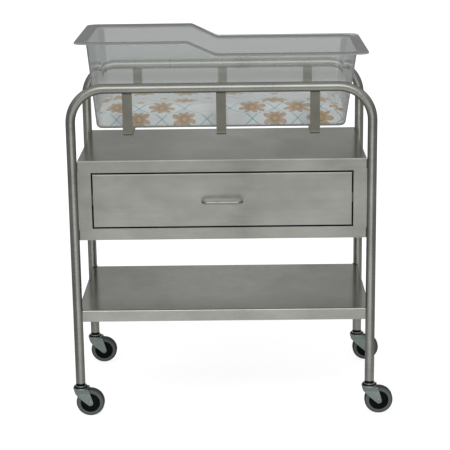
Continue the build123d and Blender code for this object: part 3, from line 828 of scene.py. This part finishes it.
def make_row(name, tree, paths, finish):
    """One piece of beads along several paths, each a list of points."""
    curve = bpy.data.curves.new(name + "_path", "CURVE")
    curve.dimensions = "3D"
    for path in paths:
        spline = curve.splines.new("POLY")
        spline.points.add(len(path) - 1)
        for knot, point in zip(spline.points, path):
            knot.co = (*point, 1.0)
    guide = add_object(name + "_guide", curve)
    rows = guide.modifiers.new("row", "NODES")
    rows.node_group = tree
    values = {
        "Spacing": BEAD_SPACING,
        "Bead Length": BEAD_LENGTH,
        "Bead Width": BEAD_WIDTH,
        "Finish": finish,
    }
    for item in tree.interface.items_tree:
        if item.item_type == "SOCKET" and item.name in values:
            rows[item.identifier] = values[item.name]
    made = add_object(name, shaped_mesh(guide))
    bpy.data.objects.remove(guide)
    return made


def arc(middle, radius, start, end, steps=12):
    """Points along a level arc, with its angles in degrees."""
    points = []
    for step in range(steps + 1):
        angle = radians(start + (end - start) * step / steps)
        points.append(Vector(middle) + Vector((cos(angle), sin(angle), 0)) * radius)
    return points


def strap_welds():
    """Paths along both edges of each strap's ends, under the rails."""
    paths = []
    z = RAIL_HEIGHT - TUBE_RADIUS + 0.0002
    for strap in STRAPS:
        low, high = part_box(f"basket_strap_{strap}")
        for side in (-1, 1):
            rail = STAND_MIDDLE.y + side * LEG_Y
            for face in (-1, 1):
                y = rail + face * STRAP_HALF
                paths.append([(low.x + 0.001, y, z), (high.x - 0.001, y, z)])
    return paths


def leg_welds():
    """Paths where the lower shelf and the cabinet meet each leg."""
    paths = []
    shelf_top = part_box("lower_shelf")[1].z
    low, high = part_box("cabinet_wrapper")
    # The angle that the quarter of a leg inside the shelf starts from
    quarters = {(-1, -1): 0, (-1, 1): 270, (1, -1): 90, (1, 1): 180}
    for (side, end), inward in quarters.items():
        leg = STAND_MIDDLE + Vector((side * LEG_X, end * LEG_Y, 0))
        leg.z = shelf_top + 0.0002
        paths.append(arc(leg, TUBE_RADIUS + 0.0004, inward + 4, inward + 86))
        x = leg.x - side * (TUBE_RADIUS + 0.0001)
        y = leg.y + end * 0.0004
        for bottom, top in ((low.z + 0.002, low.z + 0.027), (high.z - 0.027, high.z - 0.004)):
            paths.append([(x, y, bottom), (x, y, top)])
    return paths


# ---------------------------------------------------------------- stage


def make_camera():
    """The camera, level apart from its pitch and a slight roll."""
    yaw, pitch, roll = (radians(a) for a in (CAMERA_YAW, CAMERA_PITCH, CAMERA_ROLL))
    ahead = Vector((sin(yaw) * cos(pitch), cos(yaw) * cos(pitch), -sin(pitch)))
    right = ahead.cross(Vector((0, 0, 1))).normalized()
    above = right.cross(ahead)
    level, tilted = right * cos(roll) + above * sin(roll), above * cos(roll) - right * sin(roll)
    data = bpy.data.cameras.new("camera")
    data.lens = CAMERA_LENS
    data.clip_end = CAMERA_FAR
    camera = add_object("camera", data)
    turn = Matrix((level, tilted, -ahead)).transposed().to_4x4()
    camera.matrix_world = Matrix.Translation(CAMERA_PLACE) @ turn
    bpy.context.scene.camera = camera


def hide_from(piece, *rays):
    """Keeps a piece out of some kinds of rays."""
    for kind in rays:
        setattr(piece, "visible_" + kind, False)


def level_sheet(x, y, z):
    """Corners of a level sheet, from its ranges along X and Y."""
    return [(x[0], y[0], z), (x[1], y[0], z), (x[1], y[1], z), (x[0], y[1], z)]


def upright_sheet(x, y, z):
    """Corners of an upright sheet that faces along Y, from its ranges along X and Z."""
    return [(x[0], y, z[0]), (x[1], y, z[0]), (x[1], y, z[1]), (x[0], y, z[1])]


def make_sheet(name, corners, material):
    """A flat stage piece from its four corners."""
    mesh = bpy.data.meshes.new(name)
    mesh.from_pydata(corners, [], [(0, 1, 2, 3)])
    mesh.materials.append(material)
    made = add_object(name, mesh)
    return made


def empty_finish(name):
    """A material and its emptied node tree."""
    material = bpy.data.materials.new(name)
    material.use_nodes = True
    material.node_tree.nodes.clear()
    return material, material.node_tree


def white_glow(tree, strength):
    """A white glow of a given strength."""
    inputs = {"Color": (*WHITE, 1.0), "Strength": strength}
    return add_node(tree, "ShaderNodeEmission", inputs).outputs[0]


def make_card(name, corners, tone, clear=False):
    """A grey card that lights nothing: it shows in reflections, or through plastic where it
    is clear, and then its foot is paler."""
    finish, tree = empty_finish(name + "_grey")
    if clear:
        height = split(tree, object_place(tree))[2]
        tone = map_range(tree, height, *CLEAR_CARD_FADE, tone * CLEAR_CARD_FOOT, tone)
    add_node(tree, "ShaderNodeOutputMaterial", {"Surface": white_glow(tree, tone)})
    card = make_sheet(name, corners, finish)
    hide_from(card, "camera", "diffuse", "shadow", "glossy" if clear else "transmission")


def make_surround():
    """A surround that is white to the camera, and dimmer in light, reflections and plastic."""
    world = bpy.data.worlds.new("surround")
    bpy.context.scene.world = world
    world.use_nodes = True
    tree = world.node_tree
    rays = add_node(tree, "ShaderNodeLightPath").outputs
    strength = SURROUND_LIGHT
    for kind, gain in (
        ("Is Camera Ray", 1 - SURROUND_LIGHT),
        ("Is Glossy Ray", SURROUND_SHINE),
        ("Is Transmission Ray", SURROUND_THROUGH),
    ):
        strength = maths(tree, "MULTIPLY_ADD", rays[kind], gain, strength)
    background = tree.nodes["Background"].inputs
    tree.links.new(strength, background["Strength"])
    background["Color"].default_value = (*WHITE, 1.0)


def make_floor():
    """A white floor that keeps the shadow: it glows for the camera, and less in reflections."""
    finish, tree = empty_finish("floor_white")
    far = vector_maths(tree, "LENGTH", object_place(tree), result="Value")
    rays = add_node(tree, "ShaderNodeLightPath").outputs
    shine = map_range(tree, far, *FLOOR_SHINE)
    seen = maths(tree, "MULTIPLY_ADD", rays["Is Glossy Ray"], shine, rays["Is Camera Ray"])
    glow = maths(tree, "MULTIPLY", seen, map_range(tree, far, *FLOOR_GLOW))
    lit = add_node(tree, "ShaderNodeBsdfDiffuse", {"Color": FLOOR_GREY}).outputs[0]
    both = add_node(tree, "ShaderNodeAddShader", {0: lit, 1: white_glow(tree, glow)}).outputs[0]
    add_node(tree, "ShaderNodeOutputMaterial", {"Surface": both})
    reach = (-FLOOR_REACH, FLOOR_REACH)
    make_sheet("floor", level_sheet(reach, reach, 0.0), finish)


def make_cards():
    """Cards and cloths that give the steel and the basket their tones."""
    # Dark flags and floor cloths at both sides give the tubes their dark edges
    for name, side, near in (("left", -1, -0.58), ("right", 1, 0.68)):
        for count, (start, end) in enumerate(zip(FLAG_LINE, FLAG_LINE[1:])):
            (x0, y0), (x1, y1) = start, end
            foot = [(side * x0, y0, 0.0), (side * x1, y1, 0.0)]
            top = [(side * x1, y1, FLAG_TOP), (side * x0, y0, FLAG_TOP)]
            make_card(f"flag_{name}_{count}", foot + top, DARK_TONE)
        cloth = level_sheet((near, side * CLOTH_REACH), CLOTH_DEPTH, CLOTH_HEIGHT)
        make_card(f"cloth_{name}", cloth, DARK_TONE)
    # The thin pole stands in front and shows as a soft band on the cabinet
    for name, corners, tone in (
        ("ceiling", level_sheet((-2.5, 2.5), (-1.1, 2.5), 2.4), 0.38),
        ("card_rim", upright_sheet((-1.2, 1.2), 0.6, (1.04, 2.0)), 0.22),
        ("card_shelf", upright_sheet((-2.5, 2.5), 3.0, (0.3, 1.2)), 0.37),
        ("card_top", upright_sheet((-0.30, 0.20), 2.9, (1.60, 2.3)), 0.90),
        ("pole", upright_sheet((0.014, 0.062), -1.2, (0.0, 1.0)), 0.30),
        ("cloth_middle", level_sheet((-0.56, 0.56), (-0.45, 2.5), CLOTH_HEIGHT), 0.24),
    ):
        make_card(name, corners, tone)
    make_card("card_basket", upright_sheet((-2.0, 2.0), 0.6, (0.3, 1.8)), 0.305, clear=True)


def make_lamps():
    """Four soft lamps, of which only the softbox shows in reflections."""
    for name, place, width, height, power in (
        ("softbox", (0.0, -3.0, 2.5), 2.6, 2.2, 18.5),
        ("panel_front", (0.4, -3.4, 1.5), 2.0, 1.2, 27.0),
        ("panel_left", (-2.6, -2.6, 3.0), 2.6, 2.4, 26.0),
        ("panel_top", (0.0, -0.2, 3.6), 4.0, 2.6, 7.0),
    ):
        data = bpy.data.lights.new(name, "AREA")
        data.shape = "RECTANGLE"
        data.size, data.size_y = width, height
        data.energy = power
        lamp = add_object(name, data)
        lamp.location = place
        lamp.rotation_euler = (LAMP_AIM - Vector(place)).to_track_quat("-Z", "Y").to_euler()
        hide_from(lamp, "camera")
        if name != "softbox":
            hide_from(lamp, "glossy")


# ---------------------------------------------------------------- dressing


def dress(finish, *names):
    """Gives CAD nodes a finish."""
    for name in names:
        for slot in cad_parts[name].material_slots:
            slot.material = finish


make_camera()
make_surround()
make_floor()
make_cards()
make_lamps()

dress(
    brushed_sheet("stainless_sheet", ALONG_X),
    "cabinet_floor", "cabinet_back", "shelf_stiffener",
    "drawer_box", "drawer_end_front", "drawer_end_rear",
)
# The cabinet, drawer and shelf get painted highlight bands along their fronts
for finish_name, node, band in (
    ("stainless_cabinet", "cabinet_wrapper", EDGE_HIGHLIGHT_BAND),
    ("stainless_drawer", "drawer_front", EDGE_HIGHLIGHT_BAND),
    ("stainless_shelf", "lower_shelf", SHELF_LIP_HIGHLIGHT),
):
    dress(brushed_sheet(finish_name, ALONG_X, piece=node, band=band), node)

side_finish = brushed_sheet("stainless_side", ALONG_Y)
strap_finish = brushed_sheet("stainless_strap", ALONG_STRAP, STAINLESS_DULL, STRAP_ROUGHNESS)
for strap in STRAPS:
    dress(strap_finish, f"basket_strap_{strap}")
    hide_from(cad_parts[f"basket_strap_{strap}"], "glossy")

dress(polished_tube("stainless_tube"), "front_frame", "rear_frame")
dress(polished_rod("polished_rod"), "drawer_handle")
plate_finish = plated_steel("zinc_plate", ZINC, PLATE_ROUGHNESS)
screw_finish = plated_steel("zinc_screw", ZINC, SCREW_ROUGHNESS)
race_finish = plated_steel("bright_race", POLISHED, RACE_ROUGHNESS, ZINC)
# Painted shade: the runner channel gets a near-black colour so that the drawer gap reads dark
runner_shade_finish = plated_steel("runner_painted_shade", DARK_ZINC_AND_GAP_SHADE, RUNNER_ROUGHNESS, DARK_ZINC_AND_GAP_SHADE)
weld_finish = plated_steel("heat_tinted_weld", WELD_TINT, WELD_ROUGHNESS, DARK_ZINC_AND_GAP_SHADE)
black_finish = moulded_black("black_moulding")
nylon_finish = moulded_nylon("natural_nylon")

dress(screw_finish, "handle_screws")
for side in ("left", "right"):
    dress(side_finish, f"runner_bracket_{side}", f"runner_bar_{side}")
    dress(runner_shade_finish, f"runner_channel_{side}")
    dress(nylon_finish, f"runner_liner_{side}")
for corner in CORNERS:
    caster = f"caster_{corner}_"
    tread_low, tread_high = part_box(caster + "tread")
    dress(worn_tread(caster + "rubber", (tread_low + tread_high) / 2), caster + "tread")
    dress(plate_finish, caster + "fork")
    dress(screw_finish, caster + "axle")
    dress(race_finish, caster + "stem")
    dress(black_finish, caster + "hub", caster + "seal", caster + "socket")

dress(clear_moulding("clear_moulding"), "basket")
hide_from(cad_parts["basket"], "shadow", "diffuse", "glossy")

pad = make_pad()
pad.data.materials.append(printed_cover("printed_cover"))
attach(pad, "mattress")
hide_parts("mattress")
hide_from(pad, "glossy")

welds = make_row("stand_welds", row_tree("weld_row"), strap_welds() + leg_welds(), weld_finish)
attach(welds, "stand")

bpy.context.scene.view_settings.view_transform = "Standard"
